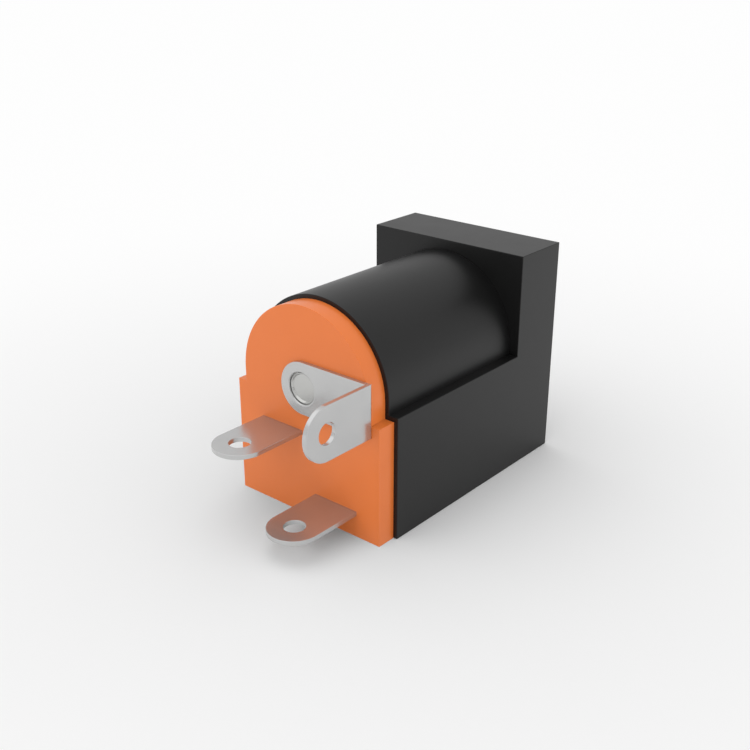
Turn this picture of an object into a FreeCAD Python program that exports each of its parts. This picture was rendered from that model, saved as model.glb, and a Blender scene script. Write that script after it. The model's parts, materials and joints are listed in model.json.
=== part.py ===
import FreeCAD, Part
import math
import os

import Sketcher

# A dc barrel jack for a 5.5 mm plug: a moulded housing, a terminal plate that closes its back,
# a riveted centre pin, a sleeve spring, a switch contact and three solder lugs.
# Every body is drawn with X = 0 on the middle plane, Y = 0 on the front face of the flange with
# +Y towards the lugs, and Z = 0 on the underside. The placement then moves the whole jack so
# that the origin lies under the middle of its length.

doc = FreeCAD.newDocument("DcBarrelJack")

# Driving sizes in millimetres
SIZES = {
    # Housing
    "body_width": 9.0,  # width over the flange and the box
    "flange_height": 11.0,  # height of the flange
    "flange_depth": 3.25,  # thickness of the flange
    "body_length": 12.45,  # front face to rear face of the housing
    "box_height": 5.95,  # height of the box behind the flange
    "barrel_ledge": 0.5,  # flat of the box at each side of the barrel
    "flange_lip": 0.52,  # height of the flange over the barrel
    "bore_radius": 3.2,  # radius of the plug bore
    "mouth_chamfer": 0.4,  # lead-in at the mouth of the bore
    "edge_round": 0.04,  # rounding of the moulded outer edges
    "channel_front": 2.2,  # front end of the channel for the spring leaf
    "channel_clearance": 0.15,  # room beside the spring leaf
    "pocket_clearance": 0.1,  # room beside and in front of the two stamped feet in the rear pocket
    # Terminal plate
    "plate_thickness": 1.0,  # thickness of the terminal plate
    "plate_rim": 0.2,  # housing edge left showing round the plate
    "spigot_length": 1.5,  # length of the spigot that centres the plate
    "spigot_clearance": 0.03,  # radial room between spigot and bore
    "slot_clearance": 0.03,  # room all round a strip in its slot
    # Stamped strip and solder lugs
    "strip_thickness": 0.22,  # thickness of the plated strip
    "lug_width": 2.5,  # width of a solder lug
    "lug_hole_radius": 0.5,  # radius of the wire hole
    "lug_reach": 3.9,  # rear face of the plate to the tip of a straight lug
    # Sleeve spring
    "sleeve_lug_x": -1.73,  # middle of the sleeve lug
    "sleeve_lug_height": 1.07,  # underside of the sleeve lug and floor of its channel
    "sleeve_foot_depth": 1.6,  # length of the foot behind the plate
    "leaf_width": 2.4,  # width of the spring leaf
    "bend_radius": 0.4,  # middle radius of the fold at the front
    "bend_gap": 0.15,  # room in front of the fold
    "crest_rise": 0.31,  # top of the crest over the underside of the switch contact
    "crest_radius": 0.9,  # middle radius of the crest
    "crest_run": 1.4,  # middle of the crest to the middle of the turn behind it
    "tail_radius": 0.6,  # middle radius of the turn where the leaf comes level
    "tail_length": 2.0,  # length of the level end behind the turn
    "tail_end": 1.15,  # rear end of the leaf to the rear face of the housing
    # Switch contact
    "switch_lug_x": 1.5,  # middle of the switch lug
    "switch_drop": 2.41,  # plug axis down to the underside of the switch contact
    "switch_foot_depth": 2.4,  # length of the foot behind the plate
    "contact_clearance": 0.05,  # room over the feet
    # Centre pin
    "pin_radius": 1.0,  # radius of the centre pin
    "pin_recess": 1.2,  # front face to the tip of the pin
    "pin_tip_round": 0.5,  # rounding of the tip
    "shoulder_radius": 1.5,  # radius of the shoulder against the spigot
    "shoulder_length": 1.0,  # length of the shoulder
    "shank_radius": 0.7,  # radius of the shank through the plate
    "shank_clearance": 0.02,  # radial room round the shank
    "rivet_groove": 0.1,  # width of the groove between the rivet and the hole of the lug
    "groove_depth": 0.12,  # face of the lug to the floor of the groove
    "rivet_recess": 0.05,  # end of the rivet under the face of the lug
    "rivet_chamfer": 0.04,  # broken edge of the rivet
    "rivet_lip": 0.12,  # width of the lip that the riveting leaves round the cupped end
    "rivet_cup_depth": 0.07,  # depth of the cup in the end of the rivet
    # Centre pin lug
    "pin_lug_overhang": 0.1,  # outer face of the bent lug beyond the side of the arch
    "pin_lug_reach": 4.0,  # rear face of the plate to the tip of the bent lug
    "pin_lug_bend_round": 0.08,  # outside rounding of the fold
}

sheet = doc.addObject("Spreadsheet::Sheet", "Sizes")
for row, (alias, value) in enumerate(SIZES.items(), start=1):
    sheet.set("A%d" % row, alias.replace("_", " "))
    sheet.set("B%d" % row, str(value))
    sheet.setAlias("B%d" % row, alias)
doc.recompute()

REAR = "Sizes.body_length"
PLATE_BACK = "(Sizes.body_length + Sizes.plate_thickness)"
OVERALL_LENGTH = "(" + PLATE_BACK + " + max(Sizes.pin_lug_reach; Sizes.lug_reach))"
BARREL_RADIUS = "(Sizes.body_width / 2 - Sizes.barrel_ledge)"
AXIS_HEIGHT = "(Sizes.flange_height - Sizes.flange_lip - " + BARREL_RADIUS + ")"
SWITCH_LEVEL = "(" + AXIS_HEIGHT + " - Sizes.switch_drop)"
ARCH_RADIUS = "(" + BARREL_RADIUS + " - Sizes.plate_rim)"
PIN_LUG_SIDE = "(" + ARCH_RADIUS + " + Sizes.pin_lug_overhang)"


def number(expression):
    """The value of an expression over the sheet, as a plain number."""
    value = sheet.evalExpression(expression)
    return float(getattr(value, "Value", value))


def new_body(label):
    """Start one piece of the jack, placed with the origin under the middle of the length."""
    body = doc.addObject("PartDesign::Body", label)
    body.Label = label
    body.setExpression("Placement.Base.y", "-1 mm * " + OVERALL_LENGTH + " / 2")
    return body


def new_sketch(body, name, role, height="0", up="0"):
    """A sketch on an origin plane, moved along the plane's normal and up the plane."""
    sketch = body.newObject("Sketcher::SketchObject", name)
    plane = [item for item in body.Origin.OriginFeatures if item.Role == role][0]
    sketch.AttachmentSupport = [(plane, "")]
    sketch.MapMode = "FlatFace"
    sketch.setExpression("AttachmentOffset.Base.z", "1 mm * (" + height + ")")
    sketch.setExpression("AttachmentOffset.Base.y", "1 mm * (" + up + ")")
    return sketch


def constrain(sketch, constraint, expression=None):
    """Add a constraint and, for a dimension, tie it to an expression."""
    index = sketch.addConstraint(constraint)
    if expression is not None:
        sketch.setExpression("Constraints[%d]" % index, expression)


def hold(sketch, kind, geometry, point, expression):
    """Hold a point at a distance from the sketch's origin, or on its axis."""
    if expression == "0":
        axis = -2 if kind == "DistanceX" else -1
        constrain(sketch, Sketcher.Constraint("PointOnObject", geometry, point, axis))
        return
    held = Sketcher.Constraint(kind, -1, 1, geometry, point, number(expression))
    unit = "1 mm * (" + expression + ")"
    constrain(sketch, held, unit)


def draw_rectangle(sketch, left, right, low, high):
    """A rectangle between two widths and two heights, given as expressions."""
    x0, x1, z0, z1 = [number(side) for side in (left, right, low, high)]
    corners = [(x0, z0), (x1, z0), (x1, z1), (x0, z1)]
    first = sketch.GeometryCount
    for start, end in zip(corners, corners[1:] + corners[:1]):
        sketch.addGeometry(Part.LineSegment(FreeCAD.Vector(*start), FreeCAD.Vector(*end)), False)
    for side in range(4):
        following = first + (side + 1) % 4
        constrain(sketch, Sketcher.Constraint("Coincident", first + side, 2, following, 1))
        direction = "Horizontal" if side % 2 == 0 else "Vertical"
        constrain(sketch, Sketcher.Constraint(direction, first + side))
    hold(sketch, "DistanceX", first, 1, left)
    hold(sketch, "DistanceX", first + 2, 1, right)
    hold(sketch, "DistanceY", first, 1, low)
    hold(sketch, "DistanceY", first + 2, 1, high)


def draw_circle(sketch, across, up, radius):
    """A circle with its centre and radius given as expressions."""
    centre = FreeCAD.Vector(number(across), number(up), 0)
    circle = Part.Circle(centre, FreeCAD.Vector(0, 0, 1), number(radius))
    index = sketch.addGeometry(circle, False)
    hold(sketch, "DistanceX", index, 3, across)
    hold(sketch, "DistanceY", index, 3, up)
    constrain(sketch, Sketcher.Constraint("Radius", index, number(radius)), "1 mm * (" + radius + ")")


def draw_profile(sketch, points):
    """A closed outline of straight lines through points given as expressions."""
    places = [FreeCAD.Vector(number(across), number(up), 0) for across, up in points]
    for start, end in zip(places, places[1:] + places[:1]):
        sketch.addGeometry(Part.LineSegment(start, end), False)
    for side, (across, up) in enumerate(points):
        following = (side + 1) % len(points)
        constrain(sketch, Sketcher.Constraint("Coincident", side, 2, following, 1))
        hold(sketch, "DistanceX", side, 1, across)
        hold(sketch, "DistanceY", side, 1, up)


def pad(body, sketch, length, backwards=False):
    """Raise a sketch by a length, along its normal or against it."""
    feature = body.newObject("PartDesign::Pad", sketch.Name + "_pad")
    feature.Profile = sketch
    feature.Reversed = backwards
    feature.setExpression("Length", "1 mm * (" + length + ")")
    doc.recompute()
    return feature


def cut(body, kind, sketch, set_up):
    """Take a pocket or groove out of the body, and make sure that it removed material."""
    before = body.Shape.Volume
    feature = body.newObject(kind, sketch.Name + "_cut")
    feature.Profile = sketch
    set_up(feature)
    doc.recompute()
    if not body.Shape.Volume < before - 1e-6:
        raise ValueError(sketch.Name + " removes nothing")
    return feature


def pocket(body, sketch, depth, backwards=False):
    """A pocket against the sketch's normal, or along it when it goes backwards."""
    def set_up(feature):
        feature.Reversed = backwards
        feature.setExpression("Length", "1 mm * (" + depth + ")")
    return cut(body, "PartDesign::Pocket", sketch, set_up)


def edges_where(shape, wanted):
    """The names of the edges whose bounding box passes a test."""
    return ["Edge%d" % (n + 1) for n, edge in enumerate(shape.Edges) if wanted(edge)]


def round_edges(body, name, wanted, radius):
    """Round the edges of the body's last feature that pass a test."""
    base = body.Tip
    feature = body.newObject("PartDesign::Fillet", name)
    feature.Base = (base, edges_where(base.Shape, wanted))
    feature.setExpression("Radius", "1 mm * (" + radius + ")")
    doc.recompute()
    return feature


def near(value, target):
    """Whether a length is the target one, to a thousandth."""
    return abs(value - target) < 1e-3


# Housing
# The flange, the box and the barrel are three pads that share one underside and one front face.
# The bore is turned out with its lead-in. The rear pocket and the channel take the stamped feet
# and the leaf of the sleeve spring.
housing = new_body("housing")

flange_outline = new_sketch(housing, "flange_outline", "XZ_Plane")
draw_rectangle(flange_outline, "-Sizes.body_width / 2", "Sizes.body_width / 2", "0", "Sizes.flange_height")
pad(housing, flange_outline, "Sizes.flange_depth", backwards=True)

box_outline = new_sketch(housing, "box_outline", "XZ_Plane")
draw_rectangle(box_outline, "-Sizes.body_width / 2", "Sizes.body_width / 2", "0", "Sizes.box_height")
pad(housing, box_outline, REAR, backwards=True)

barrel_outline = new_sketch(housing, "barrel_outline", "XZ_Plane")
draw_circle(barrel_outline, "0", AXIS_HEIGHT, BARREL_RADIUS)
pad(housing, barrel_outline, REAR, backwards=True)


def on_outside(edge):
    """Outer moulded edges: the flange's outline, the box's long edges and the rear outline."""
    box = edge.BoundBox
    half = number("Sizes.body_width") / 2
    back = number(REAR)
    flange_back = number("Sizes.flange_depth")
    along_side = near(abs(box.XMin), half) and near(box.XMin, box.XMax)
    on_front = near(box.YMin, 0) and near(box.YMax, 0)
    on_back = near(box.YMin, back) and near(box.YMax, back)
    flange_top = near(box.ZMin, number("Sizes.flange_height"))
    flange_rear_side = along_side and near(box.YMin, flange_back) and near(box.YMax, flange_back)
    long_edge = along_side and near(box.ZMin, box.ZMax)
    return on_front or on_back or flange_top or flange_rear_side or long_edge


round_edges(housing, "moulded_edges", on_outside, "Sizes.edge_round")

bore_profile = new_sketch(housing, "bore_profile", "YZ_Plane", up=AXIS_HEIGHT)
draw_profile(bore_profile, [
    ("0", "0"),
    (REAR, "0"),
    (REAR, "Sizes.bore_radius"),
    ("Sizes.mouth_chamfer", "Sizes.bore_radius"),
    ("0", "Sizes.bore_radius + Sizes.mouth_chamfer"),
])


def turn_about_axis(feature):
    """Turn a profile about the plug axis."""
    feature.ReferenceAxis = (feature.Profile[0], ["H_Axis"])
    feature.Angle = 360


cut(housing, "PartDesign::Groove", bore_profile, turn_about_axis)

feet_top = SWITCH_LEVEL + " + Sizes.strip_thickness + Sizes.contact_clearance"
feet_side = "(max(abs(Sizes.sleeve_lug_x); abs(Sizes.switch_lug_x)) + Sizes.lug_width / 2)"
feet_depth = "max(Sizes.sleeve_foot_depth; Sizes.switch_foot_depth)"
pocket_side = "(" + feet_side + " + Sizes.pocket_clearance)"
pocket_outline = new_sketch(housing, "pocket_outline", "XZ_Plane", height="-" + REAR)
draw_rectangle(pocket_outline, "-" + pocket_side, pocket_side, "Sizes.sleeve_lug_height", feet_top)
pocket(housing, pocket_outline, feet_depth + " + Sizes.pocket_clearance", backwards=True)

channel_side = "(Sizes.leaf_width / 2 + Sizes.channel_clearance)"
channel_outline = new_sketch(housing, "channel_outline", "XZ_Plane", height="-" + REAR)
draw_rectangle(channel_outline, "-" + channel_side, channel_side, "Sizes.sleeve_lug_height", AXIS_HEIGHT)
pocket(housing, channel_outline, REAR + " - Sizes.channel_front", backwards=True)

# Terminal plate
# An arch with two shoulders, a rim's width inside the outline of the housing. A spigot with a
# flat underside centres it in the bore and lies just over the switch contact.
terminal_plate = new_body("terminal_plate")


def plate_pad(sketch):
    """Give one part of the plate's outline its thickness."""
    pad(terminal_plate, sketch, "Sizes.plate_thickness", backwards=True)


shoulder_side = "(Sizes.body_width / 2 - Sizes.plate_rim)"
shoulder_outline = new_sketch(terminal_plate, "shoulder_outline", "XZ_Plane", height="-" + REAR)
draw_rectangle(
    shoulder_outline, "-" + shoulder_side, shoulder_side, "0", "Sizes.box_height - Sizes.plate_rim")
plate_pad(shoulder_outline)

arch_wall_outline = new_sketch(terminal_plate, "arch_wall_outline", "XZ_Plane", height="-" + REAR)
draw_rectangle(arch_wall_outline, "-" + ARCH_RADIUS, ARCH_RADIUS, "0", AXIS_HEIGHT)
plate_pad(arch_wall_outline)

arch_outline = new_sketch(terminal_plate, "arch_outline", "XZ_Plane", height="-" + REAR)
draw_circle(arch_outline, "0", AXIS_HEIGHT, ARCH_RADIUS)
plate_pad(arch_outline)

spigot_radius = "(Sizes.bore_radius - Sizes.spigot_clearance)"
spigot_outline = new_sketch(terminal_plate, "spigot_outline", "XZ_Plane", height="-" + REAR)
draw_circle(spigot_outline, "0", AXIS_HEIGHT, spigot_radius)
pad(terminal_plate, spigot_outline, "Sizes.spigot_length")

flat_outline = new_sketch(terminal_plate, "flat_outline", "XZ_Plane", height="-" + REAR)
draw_rectangle(flat_outline, "-" + spigot_radius, spigot_radius, "0", feet_top)
pocket(terminal_plate, flat_outline, "Sizes.spigot_length", backwards=True)

shank_hole = new_sketch(
    terminal_plate, "shank_hole", "XZ_Plane", height="Sizes.spigot_length - " + REAR)
draw_circle(shank_hole, "0", AXIS_HEIGHT, "Sizes.shank_radius + Sizes.shank_clearance")
pocket(terminal_plate, shank_hole, "Sizes.spigot_length + Sizes.plate_thickness")

for name, middle, underside in (
        ("sleeve_slot", "Sizes.sleeve_lug_x", "Sizes.sleeve_lug_height"),
        ("switch_slot", "Sizes.switch_lug_x", SWITCH_LEVEL)):
    slot = new_sketch(terminal_plate, name, "XZ_Plane", height="-" + REAR)
    reach = "(Sizes.lug_width / 2 + Sizes.slot_clearance)"
    draw_rectangle(
        slot, middle + " - " + reach, middle + " + " + reach, underside + " - Sizes.slot_clearance",
        underside + " + Sizes.strip_thickness + Sizes.slot_clearance")
    pocket(terminal_plate, slot, "Sizes.plate_thickness")

# Centre pin
# Turned from one bar: a rounded pin, a shoulder that seats on the spigot and a shank through the
# plate. The end is riveted: a collar fills the hole of the lug and the cupped core stands inside it.
centre_pin = new_body("centre_pin")
shoulder_back = "(" + REAR + " - Sizes.spigot_length)"
shoulder_front = "(" + shoulder_back + " - Sizes.shoulder_length)"
rivet_end = "(" + PLATE_BACK + " + Sizes.strip_thickness - Sizes.rivet_recess)"
cup_floor = rivet_end + " - Sizes.rivet_cup_depth"
cup_radius = "Sizes.shank_radius - Sizes.rivet_lip"
rivet_hole_radius = "Sizes.shank_radius + Sizes.rivet_groove"
collar_radius = rivet_hole_radius + " - Sizes.shank_clearance"
collar_end = PLATE_BACK + " + Sizes.strip_thickness - Sizes.groove_depth"

pin_profile = new_sketch(centre_pin, "pin_profile", "YZ_Plane", up=AXIS_HEIGHT)
draw_profile(pin_profile, [
    ("Sizes.pin_recess", "0"),
    (cup_floor, "0"),
    (cup_floor, cup_radius),
    (rivet_end, cup_radius),
    (rivet_end, "Sizes.shank_radius - Sizes.rivet_chamfer"),
    (rivet_end + " - Sizes.rivet_chamfer", "Sizes.shank_radius"),
    (collar_end, "Sizes.shank_radius"),
    (collar_end, collar_radius),
    (PLATE_BACK, collar_radius),
    (PLATE_BACK, "Sizes.shank_radius"),
    (shoulder_back, "Sizes.shank_radius"),
    (shoulder_back, "Sizes.shoulder_radius"),
    (shoulder_front, "Sizes.shoulder_radius"),
    (shoulder_front, "Sizes.pin_radius"),
    ("Sizes.pin_recess", "Sizes.pin_radius"),
])
pin_turning = centre_pin.newObject("PartDesign::Revolution", "pin_turning")
pin_turning.Profile = pin_profile
turn_about_axis(pin_turning)
doc.recompute()


def on_tip(edge):
    """The rim of the pin's front end."""
    box = edge.BoundBox
    tip = number("Sizes.pin_recess")
    return near(box.YMin, tip) and near(box.YMax, tip) and box.XLength > number("Sizes.pin_radius")


round_edges(centre_pin, "pin_tip", on_tip, "Sizes.pin_tip_round")

# Centre pin lug
# A strip that lies on the plate round the rivet and folds out just past the edge of the arch.
centre_pin_lug = new_body("centre_pin_lug")
half_lug = "Sizes.lug_width / 2"
strip_low = "(" + AXIS_HEIGHT + " - " + half_lug + ")"
strip_high = "(" + AXIS_HEIGHT + " + " + half_lug + ")"
bent_tip_centre = "(" + PLATE_BACK + " + Sizes.pin_lug_reach - " + half_lug + ")"

flat_strip = new_sketch(centre_pin_lug, "flat_strip", "XZ_Plane", height="-" + PLATE_BACK)
draw_rectangle(flat_strip, "-" + PIN_LUG_SIDE, "0", strip_low, strip_high)
pad(centre_pin_lug, flat_strip, "Sizes.strip_thickness", backwards=True)

flat_end = new_sketch(centre_pin_lug, "flat_end", "XZ_Plane", height="-" + PLATE_BACK)
draw_circle(flat_end, "0", AXIS_HEIGHT, half_lug)
pad(centre_pin_lug, flat_end, "Sizes.strip_thickness", backwards=True)

bent_strip = new_sketch(centre_pin_lug, "bent_strip", "YZ_Plane", height="-" + PIN_LUG_SIDE)
draw_rectangle(bent_strip, PLATE_BACK, bent_tip_centre, strip_low, strip_high)
pad(centre_pin_lug, bent_strip, "Sizes.strip_thickness")

bent_end = new_sketch(centre_pin_lug, "bent_end", "YZ_Plane", height="-" + PIN_LUG_SIDE)
draw_circle(bent_end, bent_tip_centre, AXIS_HEIGHT, half_lug)
pad(centre_pin_lug, bent_end, "Sizes.strip_thickness")


def on_fold(edge):
    """The outer edge of the fold."""
    box = edge.BoundBox
    side = -number(PIN_LUG_SIDE)
    back = number(PLATE_BACK)
    return near(box.XMin, side) and near(box.XMax, side) and near(box.YMin, back) and near(box.YMax, back)


round_edges(centre_pin_lug, "fold", on_fold, "Sizes.pin_lug_bend_round")

rivet_hole = new_sketch(centre_pin_lug, "rivet_hole", "XZ_Plane", height="-" + PLATE_BACK)
draw_circle(rivet_hole, "0", AXIS_HEIGHT, rivet_hole_radius)
pocket(centre_pin_lug, rivet_hole, "Sizes.strip_thickness")

bent_wire_hole = new_sketch(centre_pin_lug, "bent_wire_hole", "YZ_Plane", height="-" + PIN_LUG_SIDE)
draw_circle(bent_wire_hole, bent_tip_centre, AXIS_HEIGHT, "Sizes.lug_hole_radius")
pocket(centre_pin_lug, bent_wire_hole, "Sizes.strip_thickness", backwards=True)

# Straight lugs
# The sleeve spring and the switch contact share one stamped form: a foot behind the plate that is
# wider than the slot, and a lug through the slot with a round tip and a wire hole.
tip_centre = "(" + PLATE_BACK + " + Sizes.lug_reach - " + half_lug + ")"


def stamp_foot_and_lug(body, underside, middle, foot_left, foot_right, foot_depth):
    """Stamp the flat foot and the lug of one contact at the height of its underside."""
    prefix = body.Label
    foot = new_sketch(body, prefix + "_foot", "XY_Plane", height=underside)
    draw_rectangle(foot, foot_left, foot_right, REAR + " - " + foot_depth, REAR)
    pad(body, foot, "Sizes.strip_thickness")
    lug = new_sketch(body, prefix + "_lug", "XY_Plane", height=underside)
    draw_rectangle(
        lug, middle + " - " + half_lug, middle + " + " + half_lug, REAR + " - " + foot_depth, tip_centre)
    pad(body, lug, "Sizes.strip_thickness")
    tip = new_sketch(body, prefix + "_tip", "XY_Plane", height=underside)
    draw_circle(tip, middle, tip_centre, half_lug)
    pad(body, tip, "Sizes.strip_thickness")
    hole = new_sketch(body, prefix + "_wire_hole", "XY_Plane", height=underside)
    draw_circle(hole, middle, tip_centre, "Sizes.lug_hole_radius")
    pocket(body, hole, "Sizes.strip_thickness", backwards=True)


# Switch contact
# Its foot reaches over the free end of the spring leaf, which lifts against it until a plug
# presses the leaf down.
switch_contact = new_body("switch_contact")
stamp_foot_and_lug(
    switch_contact, SWITCH_LEVEL, "Sizes.switch_lug_x", "-Sizes.leaf_width / 2",
    "Sizes.switch_lug_x + " + half_lug, "Sizes.switch_foot_depth")

# Sleeve spring
# The lug jogs to the middle plane behind the plate. From its foot the leaf runs forward on the
# floor of the channel, folds back over itself, rises to a crest in the path of the plug and ends
# level under the switch contact.
sleeve_spring = new_body("sleeve_spring")
stamp_foot_and_lug(
    sleeve_spring, "Sizes.sleeve_lug_height", "Sizes.sleeve_lug_x",
    "Sizes.sleeve_lug_x - " + half_lug, "Sizes.leaf_width / 2", "Sizes.sleeve_foot_depth")

half_strip = "Sizes.strip_thickness / 2"
floor_level = "(Sizes.sleeve_lug_height + " + half_strip + ")"
leaf_start = "(" + REAR + " - Sizes.sleeve_foot_depth)"
bend_centre = "(Sizes.channel_front + Sizes.bend_gap + " + half_strip + " + Sizes.bend_radius)"
tail_level = "(" + SWITCH_LEVEL + " - " + half_strip + ")"
tail_stop = "(" + REAR + " - Sizes.tail_end)"
tail_centre = "(" + tail_stop + " - Sizes.tail_length)"
crest_centre = "(" + tail_centre + " - Sizes.crest_run)"
crest_centre_up = "(" + SWITCH_LEVEL + " + Sizes.crest_rise - " + half_strip + " - Sizes.crest_radius)"


def common_tangent(first, second, offset):
    """The heading of the line that touches two circles, from how far their centres lie off it."""
    across = second - first
    return math.atan2(across.y, across.x) - math.asin(offset / across.Length)


def left_of(heading, distance):
    """A step to the left of a heading."""
    return FreeCAD.Vector(-math.sin(heading), math.cos(heading), 0) * distance


def leaf_line():
    """The middle line of the leaf: three arcs and the straight runs that touch them."""
    bend = number("Sizes.bend_radius")
    crest = number("Sizes.crest_radius")
    tail = number("Sizes.tail_radius")
    start = FreeCAD.Vector(number(leaf_start), number(floor_level), 0)
    end = FreeCAD.Vector(number(tail_stop), number(tail_level), 0)
    bend_middle = FreeCAD.Vector(number(bend_centre), start.y + bend, 0)
    crest_middle = FreeCAD.Vector(number(crest_centre), number(crest_centre_up), 0)
    tail_middle = FreeCAD.Vector(number(tail_centre), end.y + tail, 0)
    rise = common_tangent(bend_middle, crest_middle, bend - crest)
    fall = common_tangent(crest_middle, tail_middle, crest + tail)
    upwards = FreeCAD.Vector(0, 0, 1)
    quarter = math.pi / 2
    return [
        Part.LineSegment(start, bend_middle - left_of(0, bend)),
        Part.ArcOfCircle(Part.Circle(bend_middle, upwards, bend), quarter + rise, 3 * quarter),
        Part.LineSegment(bend_middle + left_of(rise, bend), crest_middle + left_of(rise, crest)),
        Part.ArcOfCircle(Part.Circle(crest_middle, upwards, crest), quarter + fall, quarter + rise),
        Part.LineSegment(crest_middle + left_of(fall, crest), tail_middle - left_of(fall, tail)),
        Part.ArcOfCircle(Part.Circle(tail_middle, upwards, tail), 3 * quarter + fall, 3 * quarter),
        Part.LineSegment(tail_middle - left_of(0, tail), end),
    ]


leaf_path = new_sketch(sleeve_spring, "leaf_path", "YZ_Plane")
leaf_path.addGeometry(leaf_line(), False)
FLOOR_RUN, FOLD, RISE, CREST, FALL, TURN, FREE_END = range(7)

# The end-to-end tangents: point 1 of a line or an arc is its start, 2 its end, 3 an arc's centre.
for joint in (
        (FLOOR_RUN, 2, FOLD, 2),
        (FOLD, 1, RISE, 1),
        (RISE, 2, CREST, 2),
        (CREST, 1, FALL, 1),
        (FALL, 2, TURN, 1),
        (TURN, 2, FREE_END, 1)):
    constrain(leaf_path, Sketcher.Constraint("Tangent", *joint))
constrain(leaf_path, Sketcher.Constraint("Horizontal", FLOOR_RUN))
constrain(leaf_path, Sketcher.Constraint("Horizontal", FREE_END))
hold(leaf_path, "DistanceX", FLOOR_RUN, 1, leaf_start)
hold(leaf_path, "DistanceY", FLOOR_RUN, 1, floor_level)
hold(leaf_path, "DistanceX", FOLD, 3, bend_centre)
hold(leaf_path, "DistanceX", CREST, 3, crest_centre)
hold(leaf_path, "DistanceY", CREST, 3, crest_centre_up)
hold(leaf_path, "DistanceX", TURN, 3, tail_centre)
hold(leaf_path, "DistanceX", FREE_END, 2, tail_stop)
hold(leaf_path, "DistanceY", FREE_END, 2, tail_level)
for arc, radius in ((FOLD, "Sizes.bend_radius"), (CREST, "Sizes.crest_radius"), (TURN, "Sizes.tail_radius")):
    constrain(leaf_path, Sketcher.Constraint("Radius", arc, number(radius)), "1 mm * " + radius)

leaf_section = new_sketch(sleeve_spring, "leaf_section", "XZ_Plane", height="-" + leaf_start)
draw_rectangle(
    leaf_section, "-Sizes.leaf_width / 2", "Sizes.leaf_width / 2", "Sizes.sleeve_lug_height",
    "Sizes.sleeve_lug_height + Sizes.strip_thickness")
doc.recompute()
leaf = sleeve_spring.newObject("PartDesign::AdditivePipe", "leaf")
leaf.Profile = leaf_section
leaf.Spine = (leaf_path, ["Edge%d" % (n + 1) for n in range(len(leaf_path.Shape.Edges))])
doc.recompute()

# Check and write the pieces
pieces = [housing, terminal_plate, centre_pin, centre_pin_lug, sleeve_spring, switch_contact]
for item in doc.Objects:
    for state in item.State:
        if state in ("Invalid", "Error"):
            raise ValueError("%s is %s" % (item.Label, state))
for piece in pieces:
    if piece.Shape.isNull() or not piece.Shape.isValid() or len(piece.Shape.Solids) != 1:
        raise ValueError(piece.Label + " has no single valid solid")

os.makedirs("parts", exist_ok=True)
for piece in pieces:
    piece.Shape.exportStep("parts/" + piece.Label + ".step")
    box = piece.Shape.BoundBox
    print("%-15s volume %8.3f mm3, x %.2f %.2f, y %.2f %.2f, z %.2f %.2f" % (
        piece.Label, piece.Shape.Volume, box.XMin, box.XMax, box.YMin, box.YMax, box.ZMin, box.ZMax))
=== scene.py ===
# %% [markdown]
# # A dc barrel jack, dressed for the studio
# The jack is the small power socket of a desk device: a black moulded housing, an orange plate that
# closes its back, a turned centre pin and three stamped contacts, each with a solder lug. The
# measured solids come in first and stay the frame. Every piece is then made again with the rounded
# edges, the folds and the finish that a close look shows. All modelling is done in millimetres,
# because Blender's filling tools lose their footing on shapes of a few thousandths of a unit, and
# scaled to metres at the end.

# %% Load the frame
import json
import math

import bmesh
import bpy
from mathutils import Matrix, Vector

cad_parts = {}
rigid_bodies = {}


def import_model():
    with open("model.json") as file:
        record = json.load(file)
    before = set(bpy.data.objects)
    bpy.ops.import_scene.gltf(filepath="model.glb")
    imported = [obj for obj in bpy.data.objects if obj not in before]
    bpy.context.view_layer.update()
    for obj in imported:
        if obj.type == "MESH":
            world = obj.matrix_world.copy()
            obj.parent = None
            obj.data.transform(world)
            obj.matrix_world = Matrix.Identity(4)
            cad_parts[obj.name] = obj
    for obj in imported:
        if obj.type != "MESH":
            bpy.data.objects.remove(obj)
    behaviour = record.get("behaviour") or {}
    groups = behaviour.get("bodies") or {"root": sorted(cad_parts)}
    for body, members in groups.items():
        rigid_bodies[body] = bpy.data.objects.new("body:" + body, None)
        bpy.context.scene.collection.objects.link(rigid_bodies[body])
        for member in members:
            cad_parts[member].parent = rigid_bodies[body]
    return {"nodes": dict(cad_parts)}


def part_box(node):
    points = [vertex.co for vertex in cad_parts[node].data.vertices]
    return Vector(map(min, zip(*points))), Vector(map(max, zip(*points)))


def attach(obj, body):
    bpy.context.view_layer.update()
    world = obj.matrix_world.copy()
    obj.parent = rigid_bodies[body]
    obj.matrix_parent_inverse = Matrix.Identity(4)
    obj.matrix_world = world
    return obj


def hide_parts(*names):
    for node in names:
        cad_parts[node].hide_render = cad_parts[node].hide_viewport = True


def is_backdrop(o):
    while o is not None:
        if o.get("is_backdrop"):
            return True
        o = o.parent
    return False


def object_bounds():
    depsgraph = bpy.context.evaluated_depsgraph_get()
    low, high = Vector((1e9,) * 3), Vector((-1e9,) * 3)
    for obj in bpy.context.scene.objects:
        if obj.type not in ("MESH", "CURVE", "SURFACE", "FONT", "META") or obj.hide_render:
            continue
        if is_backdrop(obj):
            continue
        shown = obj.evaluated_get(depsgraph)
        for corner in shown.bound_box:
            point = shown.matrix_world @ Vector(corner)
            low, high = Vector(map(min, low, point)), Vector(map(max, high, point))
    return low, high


for leftover in list(bpy.data.objects):
    bpy.data.objects.remove(leftover)
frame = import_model()
cad_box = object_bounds()
MM = 0.001


def measured(node):
    """The lowest and highest corner of a solid, in millimetres."""
    low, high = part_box(node)
    return low / MM, high / MM


for node_name in sorted(frame["nodes"]):
    low, high = ([round(v, 2) for v in corner] for corner in measured(node_name))
    print("%-15s" % node_name, "from", low, "to", high)

# %% [markdown]
# ## Camera
# The photo looks down on the back of the jack from its left rear corner. Its station could be found
# by eye, but then some edges would always be off. It was worked out from the straight edges and
# arcs of the housing, for a 50 mm lens, so the picture lines up with the photo edge for edge.

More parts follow.
